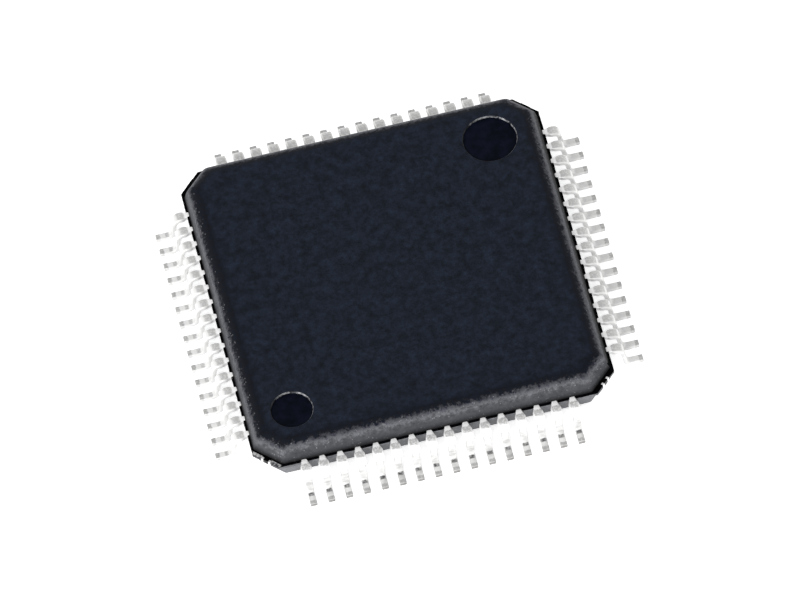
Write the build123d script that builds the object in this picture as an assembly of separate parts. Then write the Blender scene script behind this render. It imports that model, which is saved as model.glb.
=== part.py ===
from build123d import *

import os
from math import hypot, radians, sqrt, tan

# Quad flat package: a moulded body with a row of gull-wing leads on each of its four sides.
# All sizes are millimetres. The origin lies on the board, under the middle of the package.
# +Z is up. The front row is on -Y, and its first lead, at -X, is lead 1 of the package. The
# leads are counted counter-clockwise from there, seen from above.

# Lead frame: the strip that the leads and the die paddle are stamped from
frame_thickness = 0.127
leads_per_side = 16
lead_pitch = 0.5

# Leads outside the body
lead_reach = 1.0  # from the side of the body to the toe
lead_width = 0.20
neck_width = 0.19
dambar_width = 0.30  # the shoulder with the stubs that the cut dambar left on it
dambar_distance = 0.24  # from the side of the body to the full width of the stubs
shoulder_length = 0.42  # from the side of the body to the corner of the upper bend
leg_lean = 8.0  # degrees from upright
bend_radius = 0.10  # inside of both bends
flats_per_bend = 2  # flats that make up a bend

# Moulded body
row_end_margin = 1.25  # from the last lead of a row to where the next side would start
body_thickness = 1.4
standoff = 0.10  # air between the board and the underside
mould_draft = 12.0  # degrees
corner_cut = 0.68  # measured along the side
top_edge_radius = 0.60
bottom_edge_chamfer = 0.08
side_ledge = 0.065  # resin that stands out between the leads at the parting plane
corner_ledge = 0.15  # the same on the cut corners

# Round marks in the body
first_lead_mark_diameter = 1.16
first_lead_mark_inset = 1.25  # from both sides of the body
ejector_mark_diameter = 1.5
ejector_mark_inset = 1.5
mark_depth = 0.08

# Die paddle and its tie bars
paddle_width = 5.2
paddle_downset = 0.20  # below the plane of the leads
tie_bar_width = 0.30
tie_bar_flat = 0.25  # from the corner of the paddle to the slope
tie_bar_slope = 0.35  # length of the slope, seen from above

# Lead fingers inside the body
finger_width = 0.17
finger_straight = 0.45  # how far a finger runs in before it turns towards the die
finger_gap = 0.35  # between the paddle and the tips of the fingers
tie_bar_clearance = 0.25  # between a tie bar and the last finger beside it

# Die and what holds and connects it
die_width = 4.0
die_thickness = 0.28
adhesive_thickness = 0.025
adhesive_margin = 0.1  # beyond the die, all round
pad_inset = 0.12  # from the edge of the die to the middle of a bond pad
pad_row_margin = 0.35  # from the corner of the die to the last pad of a row
wire_thickness = 0.025
wire_loop_height = 0.15  # above the die
wire_landing = 0.15  # from the tip of a finger to the end of the wire

body_width = (leads_per_side - 1) * lead_pitch + 2 * row_end_margin
body_side = body_width / 2
body_top = standoff + body_thickness
frame_middle = standoff + body_thickness / 2
frame_top = frame_middle + frame_thickness / 2
frame_bottom = frame_middle - frame_thickness / 2
ledge_side = body_side + side_ledge
corner_reach = (body_width - corner_cut) / sqrt(2) + corner_ledge
toe_reach = body_side + lead_reach

paddle_middle = frame_middle - paddle_downset
adhesive_bottom = paddle_middle + frame_thickness / 2
die_bottom = adhesive_bottom + adhesive_thickness
die_top = die_bottom + die_thickness

tip_reach = paddle_width / 2 + finger_gap
turn_reach = body_side - finger_straight
last_tip = tip_reach - tie_bar_width / sqrt(2) - tie_bar_clearance - finger_width / 2
lead_places = [(place - (leads_per_side - 1) / 2) * lead_pitch for place in range(leads_per_side)]
row_half = lead_places[-1]

# Two views of the front row, drawn with the second axis outwards or up
seen_from_above = Plane(origin=(0, 0, frame_top), x_dir=(1, 0, 0), z_dir=(0, 0, -1))
seen_from_the_side = Plane(origin=(0, 0, 0), x_dir=(0, -1, 0), z_dir=(-1, 0, 0))


def tip_place(lead_place):
    """Where the finger of a lead ends, along the row: the fingers fan in to the paddle."""
    return lead_place * last_tip / row_half


def strip_outline(stations):
    """A strip through stations, each the place of its middle, its width and its distance."""
    right = [(middle + width / 2, distance) for middle, width, distance in stations]
    left = [(middle - width / 2, distance) for middle, width, distance in stations]
    return make_face(Polyline(*right, *reversed(left), close=True))


def pressed_points(*corners):
    """Points of a line through the corners, each bend pressed over a radius in a few flats."""
    smooth = FilletPolyline(*corners, radius=bend_radius + frame_thickness / 2)
    points = [smooth @ 0]
    for edge in smooth.edges():
        flats = flats_per_bend if edge.geom_type == GeomType.CIRCLE else 1
        points += [edge @ (flat / flats) for flat in range(1, flats + 1)]
    return points


def gull_wing():
    """The lead outside the resin: a broad shoulder down to the end of its bend, leg and foot."""
    leg_run = (frame_middle - frame_thickness / 2) * tan(radians(leg_lean))
    knee = body_side + shoulder_length
    points = pressed_points(
        (ledge_side, frame_middle),
        (knee, frame_middle),
        (knee + leg_run, frame_thickness / 2),
        (toe_reach, frame_thickness / 2),
    )
    before, bend_end, after = points[flats_per_bend : flats_per_bend + 3]
    heading = (bend_end - before).normalized() + (after - bend_end).normalized()
    across = Plane(origin=bend_end, z_dir=heading)
    strip = trace(Polyline(*points), frame_thickness)
    broad, narrow = (
        extrude(seen_from_the_side * split(strip, bisect_by=across, keep=side), width / 2, both=True)
        for side, width in ((Keep.BOTTOM, dambar_width), (Keep.TOP, lead_width))
    )
    plan = strip_outline(
        [
            (0, neck_width, ledge_side),
            (0, dambar_width, body_side + dambar_distance),
            (0, dambar_width, toe_reach),
        ]
    )
    return (broad & extrude(seen_from_above * plan, frame_top)) + narrow


def lead_finger(lead_place):
    """The flat part of a lead inside the resin, from its tip to the face of the ledge."""
    plan = strip_outline(
        [
            (tip_place(lead_place), finger_width, tip_reach),
            (lead_place, finger_width, turn_reach),
            (lead_place, neck_width, ledge_side),
        ]
    )
    return extrude(seen_from_above * plan, frame_thickness)


def lead_row():
    """The leads of the front row, each a solid of its own."""
    wing = gull_wing()
    leads = [lead_finger(place) + Pos(place, 0, 0) * wing for place in lead_places]
    return [lead.solid() for lead in leads]


def bond_wire(lead_place):
    """One wire of the front row: up from its pad, then straight down to its finger.

    The run down is drawn to twice its length and cut off by the top of the finger.
    """
    pad_place = lead_place * (die_width / 2 - pad_row_margin) / row_half
    pad_reach = die_width / 2 - pad_inset
    landing_share = wire_landing / (turn_reach - tip_reach)
    landing_place = tip_place(lead_place) + landing_share * (lead_place - tip_place(lead_place))
    along_row = landing_place - pad_place
    outwards = tip_reach + wire_landing - pad_reach
    length = hypot(along_row, outwards)
    upright = Plane(
        origin=(pad_place, -pad_reach, 0),
        x_dir=(along_row, -outwards, 0),
        z_dir=(-outwards, -along_row, 0),
    )
    loop_top = die_top + wire_loop_height
    middle_line = Polyline((0, die_top), (0, loop_top), (2 * length, 2 * frame_top - loop_top))
    outline = upright * trace(middle_line, wire_thickness)
    wire = extrude(outline, wire_thickness / 2, both=True)
    return split(wire, bisect_by=Plane.XY.offset(frame_top), keep=Keep.TOP)


def wire_row():
    """The bond wires of the front row."""
    return [bond_wire(place).solid() for place in lead_places]


def tie_bar():
    """The bar from the middle of the paddle to the corner of the body at +X, along +X."""
    paddle_corner = paddle_width / sqrt(2)
    slope_start = paddle_corner + tie_bar_flat
    middle_line = Polyline(
        (0, paddle_middle),
        (slope_start, paddle_middle),
        (slope_start + tie_bar_slope, frame_middle),
        (corner_reach, frame_middle),
    )
    side = Plane.XZ * trace(middle_line, frame_thickness)
    return extrude(side, tie_bar_width / 2, both=True)


def die_paddle():
    """The paddle and the four tie bars that carry it, pressed from one sheet."""
    paddle = Pos(0, 0, paddle_middle) * Box(paddle_width, paddle_width, frame_thickness)
    for corner in range(4):
        paddle += Rot(0, 0, 45 + 90 * corner) * tie_bar()
    return paddle


def die_attach():
    """The adhesive under the die."""
    width = die_width + 2 * adhesive_margin
    middle = adhesive_bottom + adhesive_thickness / 2
    return Pos(0, 0, middle) * Box(width, width, adhesive_thickness)


def silicon_die():
    return Pos(0, 0, die_bottom + die_thickness / 2) * Box(die_width, die_width, die_thickness)


def ledge():
    """The slab of resin between the leads, a little larger than the body that it joins."""
    ledge_cut = 2 * ledge_side - sqrt(2) * corner_reach
    outline = chamfer(Rectangle(2 * ledge_side, 2 * ledge_side).vertices(), ledge_cut)
    return extrude(Plane.XY.offset(frame_bottom) * outline, frame_thickness)


def moulded_half(depth):
    """One half of the body, from the parting plane up, drafted so that it leaves its mould."""
    outline = chamfer(Rectangle(body_width, body_width).vertices(), corner_cut)
    return extrude(outline, depth, taper=mould_draft)


def end_edges(half):
    """The edges round the flat end of a half."""
    return half.faces().sort_by(Axis.Z)[-1].edges()


def round_mark(diameter, inset, corner_x, corner_y, face_height):
    """The cutter of a shallow round mark, an inset away from the two sides of a corner."""
    across = body_side - inset
    place = Pos(corner_x * across, corner_y * across, face_height)
    return place * Cylinder(diameter / 2, 2 * mark_depth)


def moulded_body(inner_pieces):
    """Two drafted halves and the ledge between them, moulded round what lies inside."""
    upper_half = moulded_half(body_top - frame_top)
    upper_half = fillet(end_edges(upper_half), top_edge_radius)
    lower_half = moulded_half(frame_bottom - standoff)
    lower_half = chamfer(end_edges(lower_half), bottom_edge_chamfer)
    body = ledge()
    body += Pos(0, 0, frame_top) * upper_half
    body += Pos(0, 0, frame_bottom) * Rot(180, 0, 0) * lower_half
    body -= round_mark(first_lead_mark_diameter, first_lead_mark_inset, -1, -1, body_top)
    body -= round_mark(ejector_mark_diameter, ejector_mark_inset, 1, 1, body_top)
    return body - inner_pieces


sides = {"front": 0, "right": 90, "back": 180, "left": 270}
front_leads = lead_row()
front_wires = wire_row()

parts = {}
for side, turn in sides.items():
    parts[f"{side}_leads"] = [Rot(0, 0, turn) * lead for lead in front_leads]
    parts[f"{side}_bond_wires"] = [Rot(0, 0, turn) * wire for wire in front_wires]
parts["die_paddle"] = die_paddle().solids()
parts["die_attach"] = die_attach().solids()
parts["silicon_die"] = silicon_die().solids()
parts["moulded_body"] = moulded_body([piece for group in parts.values() for piece in group]).solids()

os.makedirs("parts", exist_ok=True)
for name, solids in parts.items():
    export_step(Compound(solids, label=name), f"parts/{name}.step")
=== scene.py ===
# %% [markdown]
# # A quad flat pack chip
# The real object is an integrated circuit in a low, square plastic package: a black body of
# moulded epoxy, 10 mm wide, with sixteen tin-plated leads on each side. The imported CAD model is
# loaded first, as a frame that stays as it is. Everything made here is in metres in that frame.

# %% Load the frame
from math import atan2, cos, pi, radians, sin, sqrt, tan

import bmesh
import bpy
from mathutils import Matrix, Vector, noise


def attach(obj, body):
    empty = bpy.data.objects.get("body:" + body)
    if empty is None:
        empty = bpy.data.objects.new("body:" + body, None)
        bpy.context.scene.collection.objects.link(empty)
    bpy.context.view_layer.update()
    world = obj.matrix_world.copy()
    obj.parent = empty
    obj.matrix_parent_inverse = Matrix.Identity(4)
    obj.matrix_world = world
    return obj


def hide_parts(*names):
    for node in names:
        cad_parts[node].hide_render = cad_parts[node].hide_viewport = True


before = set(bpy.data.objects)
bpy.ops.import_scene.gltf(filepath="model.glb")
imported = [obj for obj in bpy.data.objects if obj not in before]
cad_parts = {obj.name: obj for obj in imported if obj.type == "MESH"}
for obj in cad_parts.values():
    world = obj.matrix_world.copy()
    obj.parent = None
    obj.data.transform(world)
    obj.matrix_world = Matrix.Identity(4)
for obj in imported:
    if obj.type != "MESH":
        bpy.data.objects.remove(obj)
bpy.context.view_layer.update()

MM = 0.001
scene = bpy.context.scene
print("nodes", sorted(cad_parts))

# %% [markdown]
# ## The sizes that the picture shares with the CAD model
# The detailed pieces stand in the places of their CAD nodes, so they use the same sizes. They
# could be measured from the nodes, but written out in millimetres they can be read and
# compared with a drawing of the package.

# %% Sizes in millimetres
BODY_SIDE = 5.0
BODY_TOP = 1.5
STANDOFF = 0.10
DRAFT = radians(12)
CORNER_CUT = 0.68
STRIP = 0.127
STRIP_MIDDLE = 0.80
STRIP_TOP = STRIP_MIDDLE + STRIP / 2
STRIP_BOTTOM = STRIP_MIDDLE - STRIP / 2
TOE = 6.0
PITCH = 0.5
PER_SIDE = 16
print("strip of the leads, from", STRIP_BOTTOM, "to", STRIP_TOP)

# %% [markdown]
# ## Helpers for meshes
# A moulded body and a bent strip have one thing in common: both can be skinned over a row of
# closed rings. So one helper makes a mesh from points in millimetres, and another joins two
# rings with four-sided faces. Each ring only needs the same number of points.

# %% Make a piece from points and faces
def bridge(first, second, count):
    """Faces between two rings of points, given by the numbers of their first points."""
    return [
        (first + i, first + (i + 1) % count, second + (i + 1) % count, second + i)
        for i in range(count)
    ]


def new_piece(name, points, faces, material_of_face, materials, sharp_angle):
    """A shown piece that rides on the CAD model's only body."""
    mesh = bpy.data.meshes.new(name)
    mesh.from_pydata([Vector(p) * MM for p in points], [], faces)
    for material in materials:
        mesh.materials.append(material)
    mesh.polygons.foreach_set("material_index", material_of_face)
    mesh.shade_smooth()
    mesh.set_sharp_from_angle(angle=radians(sharp_angle))
    piece = bpy.data.objects.new(name, mesh)
    scene.collection.objects.link(piece)
    level = piece.modifiers.new("flat faces look flat", "WEIGHTED_NORMAL")
    level.keep_sharp = True
    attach(piece, "root")
    print(name, len(mesh.vertices), "points", len(mesh.polygons), "faces")
    return piece

# %% [markdown]
# ## Helpers for materials
# Colours are written as the hex codes that a colour picker shows, which are sRGB, and the
# renderer wants them linear, so one function turns them. Patterns are given their real size in
# millimetres. A node's settings and links are easiest to read in one place, so one small
# function adds any kind of node: each input is a plain value, an output of another node, or
# just that node, which stands for the first output that it has in use.

# %% Colour, scale and node helpers
def linear(hex_code):
    channels = [int(hex_code[i : i + 2], 16) / 255 for i in (1, 3, 5)]
    return [c / 12.92 if c <= 0.04045 else ((c + 0.055) / 1.055) ** 2.4 for c in channels] + [1.0]


def per_metre(size_mm):
    """The scale of a pattern whose features are this far apart."""
    return 1 / (size_mm * MM)


def add(tree, kind, inputs=None, **settings):
    node = tree.nodes.new("ShaderNode" + kind)
    for setting, value in settings.items():
        setattr(node, setting, value)
    for socket, value in (inputs or {}).items():
        if isinstance(value, bpy.types.Node):
            value = next(output for output in value.outputs if output.enabled)
        if isinstance(value, bpy.types.NodeSocket):
            tree.links.new(value, node.inputs[socket])
        else:
            node.inputs[socket].default_value = value
    return node


def new_material(name):
    """A material with only its output and one shader, and that shader."""
    material = bpy.data.materials.new(name)
    material.use_nodes = True
    tree = material.node_tree
    tree.nodes.clear()
    shader = add(tree, "BsdfPrincipled")
    add(tree, "OutputMaterial", {"Surface": shader})
    print("material", name)
    return material, tree, shader

# %% [markdown]
# ## Epoxy mould compound
# The body is epoxy resin filled with silica grains and tinted with carbon black, pressed into a
# steel cavity. On the flat top the resin covers the grains and looks a deep blue-black. The colour
# follows how steep the surface is, and that is painted light and shade: the drafted sides and
# the rounded rim are painted grey, as soft light from low down makes them, with a painted
# highlight along the rim; the lower half is painted paler still, as a painted reflection of the
# white floor, and the underside darker, as painted shade. A painted map could do that too, but
# the surface's own normal already holds it, and a noise like that of the grains makes the border
# ragged. Single grains are too fine to show, so they are drawn coarser, about 0.12 mm apart. The
# painted light differs from side to side: its strip is narrower on the left, so the normals there
# count as a little more upright, and wider at the back, so they count as a little less upright.

# %% Mould compound: how steep the surface is
GRAIN = 0.12
compound, tree, shader = new_material("epoxy_mould_compound")
place = add(tree, "TexCoord").outputs["Object"]
normal = add(tree, "NewGeometry").outputs["Normal"]
normal_parts = add(tree, "SeparateXYZ", {"Vector": normal}).outputs
grains = add(tree, "TexNoise", {"Vector": place, "Scale": per_metre(GRAIN), "Detail": 5.0, "Roughness": 0.75})
ragged = add(tree, "Math", {0: grains, 1: 0.70, 2: -0.35}, operation="MULTIPLY_ADD")
leftness = add(tree, "Math", {0: normal_parts["X"], 1: 0.0}, operation="MINIMUM")
backness = add(tree, "Math", {0: normal_parts["Y"], 1: 0.0}, operation="MAXIMUM")
upness = add(tree, "Math", {0: normal_parts["Z"], 1: ragged}, operation="ADD")
upness = add(tree, "Math", {0: leftness, 1: -0.19, 2: upness}, operation="MULTIPLY_ADD")
upness = add(tree, "Math", {0: backness, 1: -0.12, 2: upness}, operation="MULTIPLY_ADD")
print("nodes up to the steepness", len(tree.nodes))

# %% [markdown]
# A colour ramp turns the steepness into painted light and shade. Its stops are written as the
# upright part of the normal: 1 is flat and faces up, 0 is a wall, -1 faces down. A ramp runs from
# 0 to 1, so each stop is moved to its place there.

# %% Mould compound: a shade for each steepness
# Painted light and shade: grey lit sides, a highlight on the rim, a paler lower half, a darker underside.
SHADES = [
    (-1.0, "#2b2c31"), (-0.5, "#5c5d62"), (-0.20, "#828386"), (0.0, "#6c6d70"),
    (0.20, "#434448"), (0.36, "#454649"), (0.52, "#4d4e52"), (0.66, "#626367"),
    (0.73, "#48494f"), (0.79, "#34353b"), (0.82, "#1e1f25"), (0.86, "#080c15"),
]


def on_ramp(upright):
    return (upright + 1) / 2


steepness = add(tree, "MapRange", {"Value": upness, "From Min": -1.0, "From Max": 1.0})
ramp = add(tree, "ValToRGB", {"Fac": steepness})
ramp_stops = ramp.color_ramp.elements
for upright, shade in SHADES[1:-1]:
    ramp_stops.new(on_ramp(upright))
for stop, (upright, shade) in zip(ramp_stops, SHADES):
    stop.position = on_ramp(upright)
    stop.color = linear(shade)
print("stops of the ramp", len(ramp_stops))

# %% [markdown]
# The flat top has a tone of its own, a little paler and bluer than the painted shade of the strip
# round it, and it is mottled in patches a third of a millimetre wide, where the grains lie thinner
# or thicker. The rim shows the same patches faintly, and single grains more strongly.

# %% Mould compound: the flat top and its mottling
CLOUD = 0.3
level_top = add(tree, "MapRange", {"Value": normal_parts["Z"], "From Min": 0.93, "From Max": 1.0})
skin = add(tree, "Mix", {"Factor": level_top, 6: ramp, 7: linear("#131924")}, data_type="RGBA")
clouds = add(tree, "TexNoise", {"Vector": place, "Scale": per_metre(CLOUD), "Detail": 4.0, "Roughness": 0.65})
cloud_tone = add(tree, "MapRange", {
    "Value": clouds, "From Min": 0.36, "From Max": 0.64, "To Min": 0.62, "To Max": 1.38,
})
cloud_share = add(tree, "MapRange", {"Value": level_top, "To Min": 0.3, "To Max": 1.0})
cloud_tone = add(tree, "Mix", {0: cloud_share, 2: 1.0, 3: cloud_tone}, data_type="FLOAT")
rubbed = add(tree, "MapRange", {
    "Value": normal_parts["Z"], "From Min": 0.35, "From Max": 0.75, "To Min": 0.25, "To Max": 1.0,
})
uneven = add(tree, "MapRange", {
    "Value": grains, "From Min": 0.32, "From Max": 0.68, "To Min": -0.55, "To Max": 0.55,
})
grain_tone = add(tree, "Math", {0: uneven, 1: rubbed, 2: 1.0}, operation="MULTIPLY_ADD")
both_tones = add(tree, "Math", {0: cloud_tone, 1: grain_tone}, operation="MULTIPLY")
toned = add(tree, "VectorMath", {0: skin, "Scale": both_tones}, operation="SCALE")
print("nodes with the mottling", len(tree.nodes))

# %% [markdown]
# Bright specks, bare grains of silica, are strewn along the rim. A Voronoi texture cuts
# the surface into cells 0.05 mm wide, one cell in twelve is chosen by its random colour, and
# the speck fades out towards the border of its cell. Loose points on the surface would do too,
# but cells need no geometry and stay in place when the body moves.

# %% Mould compound: specks of bare silica
SPECK = 0.05
SPECK_SHARE = 0.08
SPECK_STRENGTH = 0.36
cells = add(tree, "TexVoronoi", {"Vector": place, "Scale": per_metre(SPECK), "Randomness": 1.0})
cell_value = add(tree, "SeparateColor", {"Color": cells.outputs["Color"]}).outputs["Red"]
chosen = add(tree, "Math", {0: cell_value, 1: 1 - SPECK_SHARE}, operation="GREATER_THAN")
near = add(tree, "MapRange", {"Value": cells, "From Min": 0.45, "From Max": 0.2})
on_rim = add(tree, "MapRange", {"Value": normal_parts["Z"], "From Min": 0.86, "From Max": 0.78})
speck = chosen
for factor in (near, on_rim, SPECK_STRENGTH):
    speck = add(tree, "Math", {0: speck, 1: factor}, operation="MULTIPLY")
speckled = add(tree, "Mix", {"Factor": speck, 6: toned, 7: linear("#a4a4a6")}, data_type="RGBA")
print("nodes with the specks", len(tree.nodes))

# %% [markdown]
# Two places are painted with shade. The foot of each side, next to the ledge, is darkened as
# the shade in the crease above the ledge. And the side on the right, above the ledge, is painted
# dark as a shadow, since it faces away from the light. Both are a factor on the colour, by
# height and by how far the normal points right.

# %% Mould compound: painted shade at the foot of the sides and on the side on the right
# Painted shade: a dark foot above the ledge, and a painted shadow on the side on the right.
FOOT_SHADE_TOP = 1.06
FOOT_SHADE_TONE = 0.12
RIGHT_SHADOW_TONE = 0.10
SHRINK = 0.004  # the flash lies this far inside the faces of the strip
height = add(tree, "SeparateXYZ", {"Vector": place}).outputs["Z"]
upper = add(tree, "Math", {0: height, 1: (STRIP_TOP - SHRINK) * MM}, operation="GREATER_THAN")
above = add(tree, "MapRange", {
    "Value": height, "From Min": STRIP_TOP * MM, "From Max": FOOT_SHADE_TOP * MM,
    "To Min": FOOT_SHADE_TONE, "To Max": 1.0,
})
foot = add(tree, "Mix", {0: upper, 2: 1.0, 3: above}, data_type="FLOAT")
right_shadow_tone = add(tree, "MapRange", {
    "Value": normal_parts["X"], "From Min": 0.80, "From Max": 0.91, "To Min": 1.0, "To Max": RIGHT_SHADOW_TONE,
})
painted_right_shadow = add(tree, "Mix", {0: upper, 2: 1.0, 3: right_shadow_tone}, data_type="FLOAT")
painted_shade_factor = add(tree, "Math", {0: foot, 1: painted_right_shadow}, operation="MULTIPLY")
shaded = add(tree, "VectorMath", {0: speckled, "Scale": painted_shade_factor}, operation="SCALE")
tree.links.new(shaded.outputs["Vector"], shader.inputs["Base Color"])
print("nodes with the dark places", len(tree.nodes))

# %% [markdown]
# Epoxy has an IOR of about 1.55. The grains scatter what the resin would mirror, so the skin
# reflects far less than a polished piece of it, and its gloss and its bumps follow the grains.

# %% Mould compound: gloss and bumps
EPOXY_IOR = 1.55
gloss = add(tree, "MapRange", {
    "Value": grains, "From Min": 0.3, "From Max": 0.7, "To Min": 0.42, "To Max": 0.78,
})
tree.links.new(gloss.outputs["Result"], shader.inputs["Roughness"])
bumps = add(tree, "Bump", {"Height": grains, "Strength": 0.4, "Distance": 0.012 * MM})
tree.links.new(bumps.outputs["Normal"], shader.inputs["Normal"])
shader.inputs["IOR"].default_value = EPOXY_IOR
shader.inputs["Specular IOR Level"].default_value = 0.08
print("nodes of the mould compound", len(tree.nodes))

# %% [markdown]
# The two round marks are where pins of the mould end: one shows the first lead, the other
# pushed the package out. The end of a pin is ground, so the floor of its mark is smoother than
# the skin round it, and it is painted darker, as a painted dark reflection. The flash between
# the leads is resin without grains, painted nearly black with the shade that falls in the crease
# under the sides, and at the corner near the first lead it is scuffed to a patchy grey.

# %% Plainer mould compounds
def resin(name, dark, light, size_mm, roughness, reflection):
    """A plainer mould compound between two tones."""
    material, tree, shader = new_material(name)
    place = add(tree, "TexCoord").outputs["Object"]
    pattern = add(tree, "TexNoise", {"Vector": place, "Scale": per_metre(size_mm), "Detail": 4.0})
    spread = add(tree, "MapRange", {"Value": pattern, "From Min": 0.38, "From Max": 0.62})
    colour = add(tree, "Mix", {"Factor": spread, 6: linear(dark), 7: linear(light)}, data_type="RGBA")
    tree.links.new(colour.outputs[2], shader.inputs["Base Color"])
    gloss = add(tree, "MapRange", {"Value": pattern, "To Min": roughness - 0.1, "To Max": roughness + 0.1})
    tree.links.new(gloss.outputs["Result"], shader.inputs["Roughness"])
    shader.inputs["IOR"].default_value = EPOXY_IOR
    shader.inputs["Specular IOR Level"].default_value = reflection
    return material


# Painted reflection: the floor of each mark is painted darker than the skin round it.
pin_mark = resin(
    "epoxy_mould_compound_pin_mark", "#03060f", "#0a0e1b", size_mm=0.25, roughness=0.5, reflection=0.03
)
# Painted shade: the flash is painted nearly black, with next to no reflection.
flash_and_shade = resin("epoxy_flash_and_painted_shade", "#010102", "#060608", size_mm=0.12, roughness=0.7, reflection=0.01)
worn_flash = resin("epoxy_flash_worn_grey", "#3c3d41", "#acacac", size_mm=0.07, roughness=0.6, reflection=0.1)

# %% [markdown]
# Where a pin meets the steel, resin creeps into the gap and breaks off, and that edge is painted
# with a thin pale line, a painted highlight. The line is strong where its slope faces the corner
# of the first lead, on the side of the key lamp, and fades away round the mark, by its normal.

# %% The painted highlight on the edges of the pin marks
# Painted highlight: a pale line on the lit side of each mark's edge.
painted_edge_highlight = resin(
    "epoxy_mould_compound_painted_edge_highlight", "#1c1e24", "#b4b6b9", size_mm=0.11, roughness=0.5, reflection=0.2
)
tree = painted_edge_highlight.node_tree
shader = tree.nodes["Principled BSDF"]
edge_colour = shader.inputs["Base Color"].links[0].from_socket
normal = add(tree, "NewGeometry").outputs["Normal"]
towards = add(tree, "VectorMath", {0: normal, 1: (-0.8, -0.6, 0.0)}, operation="DOT_PRODUCT")
light_on_edge = add(tree, "MapRange", {
    "Value": towards, "From Min": -0.2, "From Max": 0.9, "To Min": 0.05, "To Max": 0.9,
})
lit_edge_colour = add(tree, "VectorMath", {0: edge_colour, "Scale": light_on_edge}, operation="SCALE")
tree.links.new(lit_edge_colour.outputs["Vector"], shader.inputs["Base Color"])
print("nodes of the broken edge", len(tree.nodes))

# %% [markdown]
# ## Matt tin
# The leads are stamped from a copper alloy and plated with pure tin in a bath that leaves a
# matt, finely crystalline, nearly white surface. It is a metal and keeps the default IOR, but
# light is scattered between its crystals, so it looks partly like metal and partly like white
# paint, and its Metallic value was lowered from 1 until it matched. The crystals are far finer
# than a pixel, so they are drawn coarser here, as a faint change of tone and roughness.

# %% Tin plating: the bare tone
CRYSTAL = 0.05
STREAK = 0.3
tin, tree, shader = new_material("matt_tin_plating")
place = add(tree, "TexCoord").outputs["Object"]
crystals = add(tree, "TexNoise", {"Vector": place, "Scale": per_metre(CRYSTAL), "Detail": 3.0})
streaks = add(tree, "TexNoise", {"Vector": place, "Scale": per_metre(STREAK), "Detail": 2.0})
tin_colour = add(tree, "Mix", {
    "Factor": streaks, 6: linear("#d9d9d8"), 7: linear("#eeeeed"),
}, data_type="RGBA")
print("nodes of the bare tone", len(tree.nodes))

# %% [markdown]
# All the leads share this material, so the marks that each of them carries are found from the
# place alone. The larger of the distances from the two middle planes of the package tells how
# far out a point lies, and the smaller one, counted in pitches, how far it lies aside from the
# middle of its lead. Some noise on the distance makes the borders of the marks ragged. Painted
# maps would need sixty-four leads unwrapped, and this way needs none.

# %% Tin plating: a place on its lead
RAGGED = 0.06
RIGHT_ROW = 5.4
place_parts = add(tree, "SeparateXYZ", {"Vector": place}).outputs
across = add(tree, "Math", {0: place_parts["X"]}, operation="ABSOLUTE")
along = add(tree, "Math", {0: place_parts["Y"]}, operation="ABSOLUTE")
outwards = add(tree, "Math", {0: across, 1: along}, operation="MAXIMUM")
in_row = add(tree, "Math", {0: across, 1: along}, operation="MINIMUM")
in_pitch = add(tree, "Math", {0: in_row, 1: PITCH * MM}, operation="DIVIDE")
in_pitch = add(tree, "Math", {0: in_pitch}, operation="FRACT")
aside = add(tree, "Math", {0: in_pitch, 1: 0.5}, operation="SUBTRACT")
aside = add(tree, "Math", {0: aside}, operation="ABSOLUTE")
ragged_out = add(tree, "Math", {0: crystals, 1: RAGGED * MM, 2: outwards}, operation="MULTIPLY_ADD")
front_row = add(tree, "Math", {0: place_parts["Y"], 1: -BODY_SIDE * MM}, operation="LESS_THAN")
other_rows = add(tree, "Math", {0: place_parts["X"], 1: RIGHT_ROW * MM}, operation="LESS_THAN")
print("nodes with the place on a lead", len(tree.nodes))

# %% [markdown]
# Every mark fades in or out over a short stretch of the lead. The stretches are listed together
# in millimetres, each with its value before and after, so that they can be compared with the
# stops along a lead further down.

# %% Tin plating: where the marks start and end
STRETCHES = {  # what is measured, from, to, value before, value after
    "neck": (outwards, 5.12, 5.16, 1.0, 0.0),
    # Painted shade: the patch and right-row stretches place the greyer tin.
    "shade_patch_start": (ragged_out, 5.17, 5.20, 0.0, 1.0),
    "shade_patch_end": (ragged_out, 5.46, 5.50, 1.0, 0.0),
    # Painted shade: the heel stretch places the dark line at the lower bend.
    "bend_shade_start": (ragged_out, 5.65, 5.67, 0.0, 1.0),
    "bend_shade_end": (ragged_out, 5.75, 5.78, 1.0, 0.0),
    "toe": (ragged_out, 5.90, 5.93, 0.0, 1.0),
    "right_row_shade": (place_parts["X"], RIGHT_ROW, 5.5, 0.0, 0.3),
    "front_or_less": (place_parts["Y"], -5.5, -5.4, 1.0, 0.45),
    "above_leg": (place_parts["Z"], 0.64, 0.70, 0.0, 1.0),
    "on_leg": (place_parts["Z"], 0.60, 0.50, 0.0, 1.0),
}
zone = {}
for name, (measured, start, end, before, after) in STRETCHES.items():
    zone[name] = add(tree, "MapRange", {
        "Value": measured, "From Min": start * MM, "From Max": end * MM, "To Min": before, "To Max": after,
    })
print("stretches", len(zone))

# %% [markdown]
# The necks between the resin and the stubs are painted the whitest tin, as painted light against
# the shade of the wall beside them, and so are the shoulders of the front row, as painted light
# where they face the lamp.

# %% Tin plating: painted light on the necks and the front shoulders
# Painted light: the necks and the front shoulders are painted white.
lit_front_shoulder = add(tree, "Math", {0: front_row, 1: zone["above_leg"]}, operation="MULTIPLY")
painted_light_on_necks = add(tree, "Math", {0: zone["neck"], 1: lit_front_shoulder}, operation="MAXIMUM")
tin_colour = add(tree, "Mix", {"Factor": painted_light_on_necks, 6: tin_colour, 7: linear("#ffffff")}, data_type="RGBA")
print("nodes with the whitest parts", len(tree.nodes))

# %% [markdown]
# The legs of the front row face the light and the viewer, and show faint grey bands across,
# where the plating was stretched. A noise that is drawn out sideways gives them: the place is
# shortened along both level directions before the noise is read.

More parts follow.
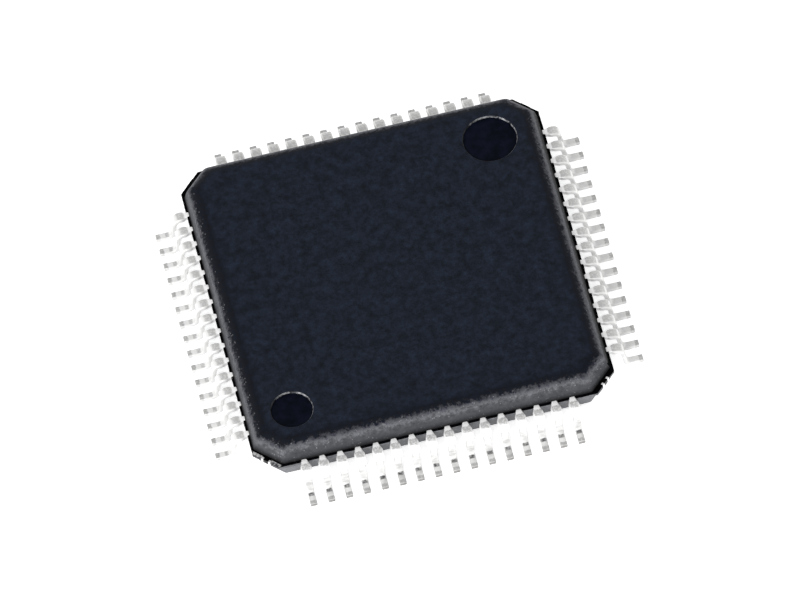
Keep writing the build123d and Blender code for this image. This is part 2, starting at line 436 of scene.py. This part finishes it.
# %% Tin plating: bands on the front legs
BAND = 0.09
layered = add(tree, "VectorMath", {0: place, 1: (0.3, 0.3, 1.0)}, operation="MULTIPLY")
bands = add(tree, "TexNoise", {"Vector": layered, "Scale": per_metre(BAND), "Detail": 2.0})
band_tone = add(tree, "MapRange", {
    "Value": bands, "From Min": 0.45, "From Max": 0.68, "To Min": 0.0, "To Max": 0.6,
})
for factor in (zone["on_leg"], front_row):
    band_tone = add(tree, "Math", {0: band_tone, 1: factor}, operation="MULTIPLY")
tin_colour = add(tree, "Mix", {"Factor": band_tone, 6: tin_colour, 7: linear("#a8a8a7")}, data_type="RGBA")
print("nodes with the bands", len(tree.nodes))

# %% [markdown]
# The middle of each shoulder and its toe are painted a little greyer, and the feet of the row on
# the right greyer all over: painted shade on the faces that turn from the key lamp. The patches
# lie on faces that look up, and a little also on those that look up and to the back or the right.

# %% Tin plating: patches of painted shade
# Painted shade: greyer tin on faces that turn from the key lamp.
normal = add(tree, "NewGeometry").outputs["Normal"]
facing = add(tree, "VectorMath", {0: normal, 1: (0, 0, 0)}, operation="MAXIMUM")
facing = add(tree, "VectorMath", {0: facing, 1: (0.35, 0.45, 1.0)}, operation="DOT_PRODUCT")
facing_away_from_lamp = add(tree, "MapRange", {"Value": facing, "From Min": 0.9, "From Max": 0.98})
inner = add(tree, "MapRange", {
    "Value": aside, "From Min": 0.19, "From Max": 0.25, "To Min": 1.0, "To Max": 0.25,
})
mottled = add(tree, "MapRange", {
    "Value": crystals, "From Min": 0.35, "From Max": 0.65, "To Min": 0.5, "To Max": 1.3,
})
painted_shade_patch = zone["shade_patch_start"]
for factor, operation in (
    (zone["shade_patch_end"], "MULTIPLY"), (inner, "MULTIPLY"), (zone["right_row_shade"], "MAXIMUM"),
    (zone["toe"], "MAXIMUM"), (mottled, "MULTIPLY"), (facing_away_from_lamp, "MULTIPLY"),
):
    painted_shade_patch = add(tree, "Math", {0: painted_shade_patch, 1: factor}, operation=operation)
tin_with_painted_shade = add(tree, "Mix", {"Factor": painted_shade_patch, 6: tin_colour, 7: linear("#bdbdbc")}, data_type="RGBA")
print("nodes with the pressed patches", len(tree.nodes))

# %% [markdown]
# Behind the heel, where the foot begins at the lower bend, a narrow line is painted dark, as the
# shade in the bend. It is strongest on the front row, and the row on the right has none. The
# toes have a fainter shade of it.

# %% Tin plating: painted shade at the heels and toes
# Painted shade: a dark line at the lower bend, fainter at the toes.
TOE_SHARE = 0.28
shade_spots = add(tree, "MapRange", {
    "Value": crystals, "From Min": 0.35, "From Max": 0.6, "To Min": 0.5, "To Max": 1.0,
})
slim = add(tree, "MapRange", {
    "Value": aside, "From Min": 0.12, "From Max": 0.17, "To Min": 1.0, "To Max": 0.0,
})
painted_bend_shade = zone["bend_shade_start"]
for factor in (zone["bend_shade_end"], zone["front_or_less"], other_rows, slim, shade_spots):
    painted_bend_shade = add(tree, "Math", {0: painted_bend_shade, 1: factor}, operation="MULTIPLY")
toe_shade = zone["toe"]
for factor in (shade_spots, TOE_SHARE):
    toe_shade = add(tree, "Math", {0: toe_shade, 1: factor}, operation="MULTIPLY")
painted_bend_shade = add(tree, "Math", {0: painted_bend_shade, 1: toe_shade}, operation="MAXIMUM")
shaded_tin = add(tree, "Mix", {"Factor": painted_bend_shade, 6: tin_with_painted_shade, 7: linear("#4a4a4a")}, data_type="RGBA")
tree.links.new(shaded_tin.outputs[2], shader.inputs["Base Color"])
print("nodes with the heels and toes", len(tree.nodes))

# %% [markdown]
# The same crystals that change the tone make the plating a little rougher and smoother, and
# raise it by a few thousandths of a millimetre.

# %% Tin plating: gloss and bumps
tin_gloss = add(tree, "MapRange", {
    "Value": crystals, "From Min": 0.3, "From Max": 0.7, "To Min": 0.34, "To Max": 0.46,
})
tree.links.new(tin_gloss.outputs["Result"], shader.inputs["Roughness"])
tin_bumps = add(tree, "Bump", {"Height": crystals, "Strength": 0.2, "Distance": 0.004 * MM})
tree.links.new(tin_bumps.outputs["Normal"], shader.inputs["Normal"])
shader.inputs["Metallic"].default_value = 0.35
print("nodes of the tin plating", len(tree.nodes))

# %% [markdown]
# The strip is plated before the leads are cut free, so the cut faces at the toes and at the
# stubs of the dambar show the copper alloy itself, dulled to a grey by the air, with paler
# smears of tin that the punch dragged down.

# %% Cut faces of the leads
cut_alloy, tree, shader = new_material("tarnished_copper_alloy_cut")
place = add(tree, "TexCoord").outputs["Object"]
smears = add(tree, "TexNoise", {"Vector": place, "Scale": per_metre(0.08), "Detail": 2.0})
cut_colour = add(tree, "Mix", {
    "Factor": smears, 6: linear("#636261"), 7: linear("#b4b3b1"),
}, data_type="RGBA")
tree.links.new(cut_colour.outputs[2], shader.inputs["Base Color"])
cut_gloss = add(tree, "MapRange", {"Value": smears, "To Min": 0.4, "To Max": 0.6})
tree.links.new(cut_gloss.outputs["Result"], shader.inputs["Roughness"])
shader.inputs["Metallic"].default_value = 1.0
print("nodes of the cut faces", len(tree.nodes))

# %% [markdown]
# ## The outline of the body
# Seen from above, the body is a square with cut corners, and each of its eight corners is a
# little round. Rings of that outline, one above the other, make the whole body. Every ring has
# the same number of points, so that they can be joined face to face.

# %% One ring of the body
ALONG_SIDE = 150
ALONG_CUT = 8
ROUND_CORNER = 6


def outline(half, cut, radius):
    """A square with cut corners, counter-clockwise, as points that are (x, y)."""
    corners = []
    for quarter in range(4):
        turn = Matrix.Rotation(quarter * pi / 2, 2)
        corners += [turn @ Vector((half - cut, -half)), turn @ Vector((half, cut - half))]
    ring = []
    for i, corner in enumerate(corners):
        before = (corner - corners[i - 1]).normalized()
        after = (corners[(i + 1) % 8] - corner).normalized()
        start = corner - before * radius * tan(pi / 8)
        inwards = Vector((-before.y, before.x))
        centre = start + inwards * radius
        for step in range(ROUND_CORNER + 1):
            swing = Matrix.Rotation(step / ROUND_CORNER * pi / 4, 2)
            ring.append(centre + swing @ (-inwards * radius))
        end = ring[-1]
        following = corners[(i + 1) % 8] - after * radius * tan(pi / 8)
        parts = ALONG_CUT if i % 2 == 0 else ALONG_SIDE
        ring += [end.lerp(following, step / parts) for step in range(1, parts)]
    return ring


RING = len(outline(BODY_SIDE, CORNER_CUT, 0.1))
print("points in a ring", RING)

# %% [markdown]
# ## The rings of the body
# From the top down, the surface is a flat, a rim rounded over 0.60 mm, a side that leans
# 12 degrees so that the package drops out of its mould, the thin ledge, and the lower half,
# which leans the other way and has a lower edge rounded over 0.25 mm. Each ring is written as
# its half width, its corner cut, the radius of its corners, its height, and how far its edge
# wanders. The corners get sharper down the rim.

# %% Rings of the rim and the upper side
RIM = 0.60
RIM_STEPS = 16
TOP_CORNER = 0.45
CORNER_CHANGE = 0.30


def upper_half_at(z):
    return BODY_SIDE - (z - STRIP_TOP) * tan(DRAFT)


def cut_at(half):
    """The corner cut of a ring, which gets shorter as the ring gets narrower."""
    return CORNER_CUT - (BODY_SIDE - half) * (2 - sqrt(2))


rim_centre_z = BODY_TOP - RIM
rim_centre = upper_half_at(rim_centre_z) - RIM / cos(DRAFT)
levels = []
for step in range(RIM_STEPS + 1):
    angle = pi / 2 - step / RIM_STEPS * (pi / 2 - DRAFT)
    half = rim_centre + RIM * cos(angle)
    radius = TOP_CORNER - CORNER_CHANGE * step / RIM_STEPS
    levels.append((half, cut_at(half), radius, rim_centre_z + RIM * sin(angle), 0))
for z, radius in ((0.95, 0.12), (STRIP_TOP + 0.015, 0.08)):
    levels.append((upper_half_at(z), cut_at(upper_half_at(z)), radius, z, 0))
print("rings above the ledge", len(levels))

# %% [markdown]
# The ledge is resin flash: its edge wanders by a few thousandths of a millimetre, and it lies a
# little lower than the leads, so that they stand clear of it. A ring in the middle of its top
# divides it, because its outer half has another skin at one corner.

# %% Rings of the ledge
LEDGE = 0.065
INNER_LEDGE = 0.03  # from the side to the ring in the middle of the ledge's top
CORNER_LEDGE = 0.15
INNER_CORNER = 0.09  # from the ledge's edge to that ring, on the cut corners
LEDGE_CORNER = 0.03
BEVEL_IN, BEVEL_DOWN = 0.008, 0.006
WANDER = 0.008
LEDGE_TOP_LEVEL = len(levels)

ledge_half = BODY_SIDE + LEDGE
corner_reach = (2 * BODY_SIDE - CORNER_CUT) / sqrt(2) + CORNER_LEDGE - SHRINK
ledge_cut = 2 * ledge_half - sqrt(2) * corner_reach
inner_half = BODY_SIDE + INNER_LEDGE
inner_cut = 2 * inner_half - sqrt(2) * (corner_reach - INNER_CORNER)
top = STRIP_TOP - SHRINK
bottom = STRIP_BOTTOM + SHRINK
levels += [
    (BODY_SIDE + 0.004, CORNER_CUT, 0.14, top, 0),
    (inner_half, inner_cut, 0.08, top, 0),
    (ledge_half - BEVEL_IN, ledge_cut, LEDGE_CORNER, top, 0.75 * WANDER),
    (ledge_half, ledge_cut, LEDGE_CORNER, top - BEVEL_DOWN, WANDER),
    (ledge_half, ledge_cut, LEDGE_CORNER, top - 0.035, WANDER),
    (ledge_half, ledge_cut, LEDGE_CORNER, bottom + BEVEL_DOWN, WANDER),
    (ledge_half - BEVEL_IN, ledge_cut, LEDGE_CORNER, bottom, 0.75 * WANDER),
    (BODY_SIDE + 0.002, CORNER_CUT, 0.12, bottom, 0),
]
print("ledge from ring", LEDGE_TOP_LEVEL, "to", len(levels) - 1)

# %% [markdown]
# The lower half leans inwards on its way down. Its edge is rounded further than in the CAD
# model, which has a small chamfer there, and the last ring closes the flat underside.

# %% Rings of the lower half
UNDER_RIM = 0.25
UNDER_STEPS = 8
LOWER_CORNER = 0.12


def lower_half_at(z):
    return BODY_SIDE - (STRIP_BOTTOM - z) * tan(DRAFT)


for z in (STRIP_BOTTOM - 0.02, 0.5, STANDOFF + UNDER_RIM):
    levels.append((lower_half_at(z), cut_at(lower_half_at(z)), LOWER_CORNER, z, 0))
for step in range(1, UNDER_STEPS + 1):
    angle = step / UNDER_STEPS * pi / 2
    half = lower_half_at(STANDOFF + UNDER_RIM) - UNDER_RIM * (1 - cos(angle))
    levels.append((half, cut_at(half), LOWER_CORNER, STANDOFF + UNDER_RIM * (1 - sin(angle)), 0))
levels.append((half - 0.05, cut_at(half - 0.05), LOWER_CORNER, STANDOFF, 0))
print("rings", len(levels))

# %% [markdown]
# ## The skin of the body
# The rings are joined one below the other, and each face gets its kind of resin. The top of the
# ledge and the upper part of its edge are flash, and near the first lead, where x + y is
# lowest, their outer part is worn to grey. The foot of the side on the right gets the black
# flash too, as a painted shadow.

# %% Skin over the rings
COMPOUND, PIN_MARK, EDGE_HIGHLIGHT, FLASH_AND_SHADE, WORN_FLASH = range(5)
WANDERS_PER_MM = 9
WORN_BELOW = -9.38  # x + y
# Painted shadow: black flash faces on the foot of the side on the right.
RIGHT_SHADOW_FROM, RIGHT_SHADOW_TOP, RIGHT_SHADOW_END = 4.90, 1.08, 4.42

points = []
faces = []
kinds = []
for half, cut, radius, z, wander in levels:
    for x, y in outline(half, cut, radius):
        swing = noise.noise(Vector((x, y, z)) * WANDERS_PER_MM)
        out = 1 + wander * swing / Vector((x, y)).length
        points.append((x * out, y * out, z))
for level in range(len(levels) - 1):
    faces += bridge((level + 1) * RING, level * RING, RING)
faces.append(tuple(reversed(range((len(levels) - 1) * RING, len(levels) * RING))))
for number, face in enumerate(faces):
    below_top = number // RING - LEDGE_TOP_LEVEL
    corners = [points[i] for i in face]
    worn = below_top in (1, 2) and all(x + y < WORN_BELOW for x, y, z in corners)
    right_foot_shadow = all(
        x > RIGHT_SHADOW_FROM and abs(y) < RIGHT_SHADOW_END and STRIP_TOP < z < RIGHT_SHADOW_TOP
        for x, y, z in corners
    )
    kinds.append(WORN_FLASH if worn else FLASH_AND_SHADE if 0 <= below_top <= 3 or right_foot_shadow else COMPOUND)
print("faces of the skin", len(faces))

# %% [markdown]
# ## The round marks
# Each mark is a shallow step. Its edge is broken off in a narrow, steep slope, which is painted
# with a fine pale highlight, and a flatter one leads down to the floor. The marks are rings
# too, but round ones, let into the top. A ring is written as how far it lies outside the radius
# of the mark and how far above the top. Minus is inside and below.

# %% Rings of the marks
MARK_ROUND = 96
marks = [(-3.75, -3.75, 0.58), (3.5, 3.5, 0.75)]  # middle and radius of each mark
MARK_RINGS = [
    (0.026, 0.0), (0.010, 0.0), (0.002, -0.005), (-0.004, -0.025), (-0.010, -0.055),
    (-0.022, -0.08), (-0.05, -0.08),
]
MARK_KINDS = [COMPOUND, EDGE_HIGHLIGHT, EDGE_HIGHLIGHT, EDGE_HIGHLIGHT, PIN_MARK, PIN_MARK]

mark_loops = []
for x, y, radius in marks:
    first = len(points)
    mark_loops.append(first)
    for grow, rise in MARK_RINGS:
        for step in range(MARK_ROUND):
            angle = step / MARK_ROUND * 2 * pi
            reach = radius + grow
            points.append((x + reach * cos(angle), y + reach * sin(angle), BODY_TOP + rise))
    for ring, kind in enumerate(MARK_KINDS):
        faces += bridge(first + ring * MARK_ROUND, first + (ring + 1) * MARK_ROUND, MARK_ROUND)
        kinds += [kind] * MARK_ROUND
    last = first + len(MARK_KINDS) * MARK_ROUND
    faces.append(tuple(range(last, last + MARK_ROUND)))
    kinds.append(PIN_MARK)
print("faces with the marks", len(faces))

# %% [markdown]
# The flat between the rim and the two marks has no simple grid. A triangle fill takes the three
# closed lines round it, the outline and the two outermost rings of the marks, and makes the
# faces between them.

# %% The flat of the top, and the body
flat = bmesh.new()
loops = [range(RING)] + [range(first, first + MARK_ROUND) for first in mark_loops]
number_of = {}
edges = []
for loop in loops:
    corners = [flat.verts.new(points[i]) for i in loop]
    number_of.update(zip(corners, loop))
    edges += [flat.edges.new((corners[i - 1], corners[i])) for i in range(len(corners))]
filled = bmesh.ops.triangle_fill(flat, edges=edges, use_beauty=True, normal=(0, 0, 1))
top_faces = [item for item in filled["geom"] if isinstance(item, bmesh.types.BMFace)]
for face in top_faces:
    corners = [number_of[corner] for corner in face.verts]
    faces.append(tuple(corners if face.normal.z > 0 else reversed(corners)))
    kinds.append(COMPOUND)
flat.free()

resins = [compound, pin_mark, painted_edge_highlight, flash_and_shade, worn_flash]
body = new_piece("moulded_package_body", points, faces, kinds, resins, sharp_angle=50)
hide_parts("moulded_body")

# %% [markdown]
# ## The leads
# A gull-wing lead is a strip 0.127 mm thick. It leaves the resin with a narrow neck, widens to
# the stubs of the cut dambar, bends down, and ends in a flat foot. The strip is skinned over
# rings that stand square to its middle line. Its cross-section is a rectangle whose corners
# are rounded: more on top, where the punch came in, and less below.

# %% The cross-section of a lead
SECTION_STEPS = 4


def section(width, thickness, top_radius, bottom_radius):
    """Points (across, up) round the strip, counter-clockwise seen from the toe."""
    corners = [(1, -1, bottom_radius), (1, 1, top_radius), (-1, 1, top_radius), (-1, -1, bottom_radius)]
    ring = []
    for side_x, side_z, radius in corners:
        start = atan2(side_z, side_x) - pi / 4
        for step in range(SECTION_STEPS + 1):
            angle = start + step / SECTION_STEPS * pi / 2
            ring.append((
                side_x * (width / 2 - radius) + radius * cos(angle),
                side_z * (thickness / 2 - radius) + radius * sin(angle),
            ))
    return ring


SECTION = len(section(0.2, STRIP, 0.03, 0.01))
print("points round a lead", SECTION)

# %% [markdown]
# The middle line is worked out once. A stop on it is written as its distance from the middle of
# the package, its height, its slope, the width and the thickness of the strip there, and the
# radii of its upper and lower corners. Along the shoulder, the strip leaves the resin slim and
# rounded, as a neck, and widens to the stubs of the dambar.

# %% Stops along the shoulder
NECK, STUB, LEG = 0.19, 0.30, 0.20
stops = [
    (4.93, STRIP_MIDDLE, 0, 0.17, STRIP - 0.02, 0.02, 0.01),
    (4.988, STRIP_MIDDLE - 0.004, 0, 0.08, STRIP - 0.010, 0.02, 0.01),
    (4.994, STRIP_MIDDLE - 0.002, 0, 0.125, STRIP - 0.006, 0.03, 0.01),
    (5.004, STRIP_MIDDLE - 0.001, 0, 0.155, STRIP - 0.003, 0.03, 0.01),
    (5.020, STRIP_MIDDLE, 0, 0.174, STRIP - 0.001, 0.03, 0.01),
    (5.045, STRIP_MIDDLE, 0, 0.184, STRIP, 0.03, 0.01),
    (5.075, STRIP_MIDDLE, 0, NECK, STRIP, 0.03, 0.01),
    (5.11, STRIP_MIDDLE, 0, 0.205, STRIP, 0.04, 0.01),
    (5.17, STRIP_MIDDLE, 0, 0.256, STRIP, 0.04, 0.01),
    (5.215, STRIP_MIDDLE, 0, 0.29, STRIP, 0.04, 0.01),
    (5.24, STRIP_MIDDLE, 0, STUB, STRIP, 0.04, 0.01),
]
print("stops along the shoulder", len(stops))

# %% [markdown]
# From the shoulder the line goes round the upper bend, down the leg, round the lower bend and
# along the foot. The stubs end in a small step, right after the upper bend, and the toe is
# cut a little smaller than the foot.

# %% Stops along the bends and the foot
LEAN = radians(8)
BEND = 0.10 + STRIP / 2  # radius of the middle line
SHOULDER = 0.42
KNEE = BODY_SIDE + SHOULDER
BEND_STEPS = 12
turn = pi / 2 - LEAN
reach = BEND * tan(turn / 2)
leg_run = (STRIP_MIDDLE - STRIP / 2) * tan(LEAN)
ankle = KNEE + leg_run

for step in range(BEND_STEPS + 1):
    angle = step / BEND_STEPS * turn
    out = KNEE - reach + BEND * sin(angle)
    stops.append((out, STRIP_MIDDLE - BEND * (1 - cos(angle)), angle, STUB, STRIP, 0.04, 0.012))
step_start = len(stops) - 1
end = stops[step_start]
for slide, width in ((0.004, STUB - 0.01), (0.008, LEG + 0.01), (0.016, LEG)):
    out = end[0] + slide * cos(turn)
    stops.append((out, end[1] - slide * sin(turn), turn, width, STRIP, 0.03, 0.012))
for step in range(BEND_STEPS + 1):
    angle = (1 - step / BEND_STEPS) * turn
    out = ankle + reach - BEND * sin(angle)
    stops.append((out, STRIP / 2 + BEND * (1 - cos(angle)), angle, LEG, STRIP, 0.025, 0.012))
stops += [
    (5.85, STRIP / 2, 0, LEG, STRIP, 0.025, 0.012),
    (TOE - 0.014, STRIP / 2, 0, LEG, STRIP, 0.025, 0.012),
    (TOE - 0.004, STRIP / 2, 0, LEG - 0.008, STRIP - 0.008, 0.02, 0.01),
    (TOE, STRIP / 2, 0, LEG - 0.02, STRIP - 0.022, 0.015, 0.01),
]
print("stops along a lead", len(stops), "toe at", stops[-1][0])

# %% [markdown]
# Inside the body each lead runs on as a flat finger that fans in towards the die and stays
# clear of the tie bars. Nobody sees it, but it belongs to the same piece of metal, so it is
# skinned with the lead, over two rings more.

# %% The rings of one lead
TIP, TURN = 2.95, 4.55
FINGER = 0.17
TIE_BAR = 0.30
TIE_BAR_GAP = 0.25
FINGER_RINGS = 2
LAST_PLACE = (PER_SIDE - 1) / 2 * PITCH
LAST_TIP = TIP - TIE_BAR / sqrt(2) - TIE_BAR_GAP - FINGER / 2


def lead(place):
    """Rings of one lead of the front row, from the tip of its finger to its toe."""
    rings = []
    for x, out in ((place * LAST_TIP / LAST_PLACE, TIP), (place, TURN)):
        rings.append([(x + a, -out, STRIP_MIDDLE + b) for a, b in section(FINGER, STRIP, 0.01, 0.01)])
    for out, z, slope, width, thick, top_radius, bottom_radius in stops:
        rings.append([
            (place + a, -(out + b * sin(slope)), z + b * cos(slope))
            for a, b in section(width, thick, top_radius, bottom_radius)
        ])
    return rings


print("rings of a lead", len(lead(0)))

# %% [markdown]
# A row is sixteen leads side by side. The toe and the step that ends the stubs show the cut
# alloy, and the rest is plated. The rows on the other three sides are the front row turned by
# quarter turns.

# %% The four rows of leads
PLATED, CUT = range(2)


def lead_row(name, node, quarter):
    turn = Matrix.Rotation(quarter * pi / 2, 3, "Z")
    points = []
    faces = []
    kinds = []
    for number in range(PER_SIDE):
        rings = lead((number - (PER_SIDE - 1) / 2) * PITCH)
        first = len(points)
        for ring in rings:
            points += [turn @ Vector(p) for p in ring]
        for i in range(len(rings) - 1):
            faces += bridge(first + (i + 1) * SECTION, first + i * SECTION, SECTION)
            stub_end = i - FINGER_RINGS in (step_start, step_start + 1)
            kinds += [CUT if stub_end else PLATED] * SECTION
        faces.append(tuple(range(first, first + SECTION)))
        last = first + (len(rings) - 1) * SECTION
        faces.append(tuple(reversed(range(last, last + SECTION))))
        kinds += [PLATED, CUT]
    row = new_piece(name, points, faces, kinds, [tin, cut_alloy], sharp_angle=40)
    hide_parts(node)


for quarter, side_name in enumerate(("front", "right", "back", "left")):
    lead_row(f"{side_name}_gull_wing_leads", f"{side_name}_leads", quarter)

# %% [markdown]
# ## What the resin hides
# The die paddle, the adhesive, the silicon die and the bond wires keep their CAD shapes. Only
# the cut ends of the paddle's tie bars are seen, at the corners. Each still gets the finish of
# the real thing: rolled copper alloy, epoxy filled with silver flakes, a polished silicon
# crystal and drawn gold wire.

# %% Finishes of the inner pieces
def grained(name, dark, light, size_mm, metallic, roughness):
    """A material whose tone and gloss change a little at the given size."""
    material, tree, shader = new_material(name)
    place = add(tree, "TexCoord").outputs["Object"]
    grain = add(tree, "TexNoise", {"Vector": place, "Scale": per_metre(size_mm), "Detail": 3.0})
    colour = add(tree, "Mix", {"Factor": grain, 6: linear(dark), 7: linear(light)}, data_type="RGBA")
    tree.links.new(colour.outputs[2], shader.inputs["Base Color"])
    gloss = add(tree, "MapRange", {"Value": grain, "To Min": roughness - 0.08, "To Max": roughness + 0.08})
    tree.links.new(gloss.outputs["Result"], shader.inputs["Roughness"])
    shader.inputs["Metallic"].default_value = metallic
    return material


inner_finishes = {
    "die_paddle": grained("rolled_copper_alloy", "#b87a58", "#d9a07c", 0.15, 1.0, 0.35),
    "die_attach": grained("silver_filled_epoxy", "#8f8f8c", "#b4b4b0", 0.05, 0.6, 0.5),
    "silicon_die": grained("polished_silicon", "#3c3f47", "#4a4e58", 0.8, 0.3, 0.15),
}
gold = grained("drawn_gold_wire", "#d9a441", "#f2c869", 0.03, 1.0, 0.2)
for side_name in ("front", "right", "back", "left"):
    inner_finishes[f"{side_name}_bond_wires"] = gold
for node, material in inner_finishes.items():
    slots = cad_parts[node].material_slots
    for slot in slots:
        slot.material = material
    print(node, len(slots), "slot")

# %% [markdown]
# The tie bars end on the cut corners, where they were cut off. The cut ends are coloured nearly
# black, and both edges of the two in front are coloured bright. With the signs of x and y taken
# away, all four bars lie in one corner, and a place is measured along the diagonal and beside.

# %% Cut ends of the tie bars
CUT_FROM, BRIGHT_FROM = 6.57, 6.67  # along the diagonal
EDGE_FROM = 0.08  # beside the diagonal
tree = inner_finishes["die_paddle"].node_tree
shader = tree.nodes["Principled BSDF"]
copper = shader.inputs["Base Color"].links[0].from_socket
place = add(tree, "TexCoord").outputs["Object"]
depth = add(tree, "SeparateXYZ", {"Vector": place}).outputs["Y"]
in_front = add(tree, "Math", {0: depth, 1: 0.0}, operation="LESS_THAN")
folded = add(tree, "VectorMath", {0: place}, operation="ABSOLUTE")
radial = add(tree, "VectorMath", {0: folded, 1: (sqrt(0.5), sqrt(0.5), 0)}, operation="DOT_PRODUCT")
sideways = add(tree, "VectorMath", {0: folded, 1: (sqrt(0.5), -sqrt(0.5), 0)}, operation="DOT_PRODUCT")
sideways = add(tree, "Math", {0: sideways}, operation="ABSOLUTE")
at_end = add(tree, "Math", {0: radial, 1: CUT_FROM * MM}, operation="GREATER_THAN")
outermost = add(tree, "Math", {0: radial, 1: BRIGHT_FROM * MM}, operation="GREATER_THAN")
at_edge = add(tree, "Math", {0: sideways, 1: EDGE_FROM * MM}, operation="GREATER_THAN")
for factor in (outermost, in_front):
    at_edge = add(tree, "Math", {0: at_edge, 1: factor}, operation="MULTIPLY")
end_tone = add(tree, "Mix", {"Factor": at_edge, 6: linear("#0b0b0d"), 7: linear("#f6f6f6")}, data_type="RGBA")
tone = add(tree, "Mix", {"Factor": at_end, 6: copper, 7: end_tone}, data_type="RGBA")
tree.links.new(tone.outputs[2], shader.inputs["Base Color"])
print("nodes of the paddle's alloy", len(tree.nodes))

# %% [markdown]
# ## Floor, light and camera
# The photograph shows the chip on plain white, with soft light from all round and most of it
# from low down: the top stays dark and the sides are bright. The floor is a large pale disc. A
# little of its own glow, which only the camera and mirror rays see, lifts it to white while it
# keeps the shadow of the chip.

# %% Floor
FLOOR_RADIUS = 1.5  # metres
FLOOR_POINTS = 64
FLOOR_GLOW = 0.62
paper, tree, shader = new_material("white_paper_floor")
shader.inputs["Base Color"].default_value = linear("#f2f2f2")
shader.inputs["Roughness"].default_value = 0.9
shader.inputs["Emission Color"].default_value = linear("#ffffff")
path = add(tree, "LightPath")
seen = path.outputs["Is Camera Ray"]
for ray in ("Is Glossy Ray", "Is Transmission Ray"):
    seen = add(tree, "Math", {0: seen, 1: path.outputs[ray]}, operation="MAXIMUM")
glow = add(tree, "Math", {0: seen, 1: FLOOR_GLOW}, operation="MULTIPLY")
tree.links.new(glow.outputs[0], shader.inputs["Emission Strength"])

floor_mesh = bpy.data.meshes.new("floor")
angles = [i / FLOOR_POINTS * 2 * pi for i in range(FLOOR_POINTS)]
floor_points = [(FLOOR_RADIUS * cos(angle), FLOOR_RADIUS * sin(angle), 0) for angle in angles]
floor_mesh.from_pydata(floor_points, [], [tuple(range(FLOOR_POINTS))])
floor_mesh.materials.append(paper)
floor = bpy.data.objects.new("floor", floor_mesh)
scene.collection.objects.link(floor)
print("floor", floor.dimensions[:])

# %% [markdown]
# The room is brightest at the horizon and dimmer overhead, as a table under a soft tent is. It
# is read from the direction in the world, so it is the same from every view.

# %% Light
world = bpy.data.worlds.new("soft_tent")
scene.world = world
world.use_nodes = True
tree = world.node_tree
tree.nodes.clear()
direction = add(tree, "TexCoord").outputs["Generated"]
up = add(tree, "SeparateXYZ", {"Vector": direction}).outputs["Z"]
tone = add(tree, "MapRange", {
    "Value": up, "From Min": 0.1, "From Max": 0.9, "To Min": 1.0, "To Max": 0.70,
}, interpolation_type="SMOOTHSTEP")
sky = add(tree, "Background", {"Color": linear("#ffffff"), "Strength": tone})
add(tree, "OutputWorld", {"Surface": sky})


def softbox(name, azimuth, elevation, distance, size, watts):
    """A square lamp that looks at the chip. Azimuth 0 is in front, 90 is on the right."""
    lamp = bpy.data.lights.new(name, "AREA")
    lamp.size = size
    lamp.energy = watts
    box = bpy.data.objects.new(name, lamp)
    a, e = radians(azimuth), radians(elevation)
    away = Vector((sin(a) * cos(e), -cos(a) * cos(e), sin(e)))
    box.location = away * distance
    box.rotation_euler = away.to_track_quat("Z", "Y").to_euler()
    scene.collection.objects.link(box)
    print(name, watts, "W")


softbox("key_softbox", azimuth=-35, elevation=35, distance=0.35, size=0.22, watts=0.90)
softbox("fill_softbox", azimuth=120, elevation=25, distance=0.35, size=0.25, watts=0.05)

# %% [markdown]
# The camera stands 430 mm away with a very long lens, so that the far side of the chip looks as
# wide as the near side, as in the photograph. Its angle, roll and scale were fitted to the
# corners and leads of the chip in the picture.

# %% Camera
AZIMUTH, ELEVATION, ROLL = radians(-7.10), radians(55.55), radians(-7.22)
DISTANCE = 430.0
PIXELS_PER_MM = 36.531
IMAGE_WIDTH = 800
AIM_RIGHT, AIM_DOWN = 0.093, 0.468  # millimetres from the middle of the strip, in the picture

back = Vector((sin(AZIMUTH) * cos(ELEVATION), -cos(AZIMUTH) * cos(ELEVATION), sin(ELEVATION)))
level_right = Vector((cos(AZIMUTH), sin(AZIMUTH), 0))
level_up = back.cross(level_right)
right = level_right * cos(ROLL) + level_up * sin(ROLL)
up = level_up * cos(ROLL) - level_right * sin(ROLL)
aim = Vector((0, 0, STRIP_MIDDLE)) + right * AIM_RIGHT - up * AIM_DOWN

lens = bpy.data.cameras.new("camera")
lens.sensor_width = 36.0
lens.lens = PIXELS_PER_MM * DISTANCE / IMAGE_WIDTH * lens.sensor_width
lens.clip_start = 0.01
lens.clip_end = 10.0
camera = bpy.data.objects.new("camera", lens)
turned = Matrix((right, up, back)).transposed().to_4x4()
camera.matrix_world = Matrix.Translation((aim + back * DISTANCE) * MM) @ turned
scene.collection.objects.link(camera)
scene.camera = camera
scene.view_settings.view_transform = "Standard"
print("lens", round(lens.lens, 1), "mm")

# %% [markdown]
# ## The last update
# The view layer is brought up to date once more.

# %% Update the view layer
bpy.context.view_layer.update()
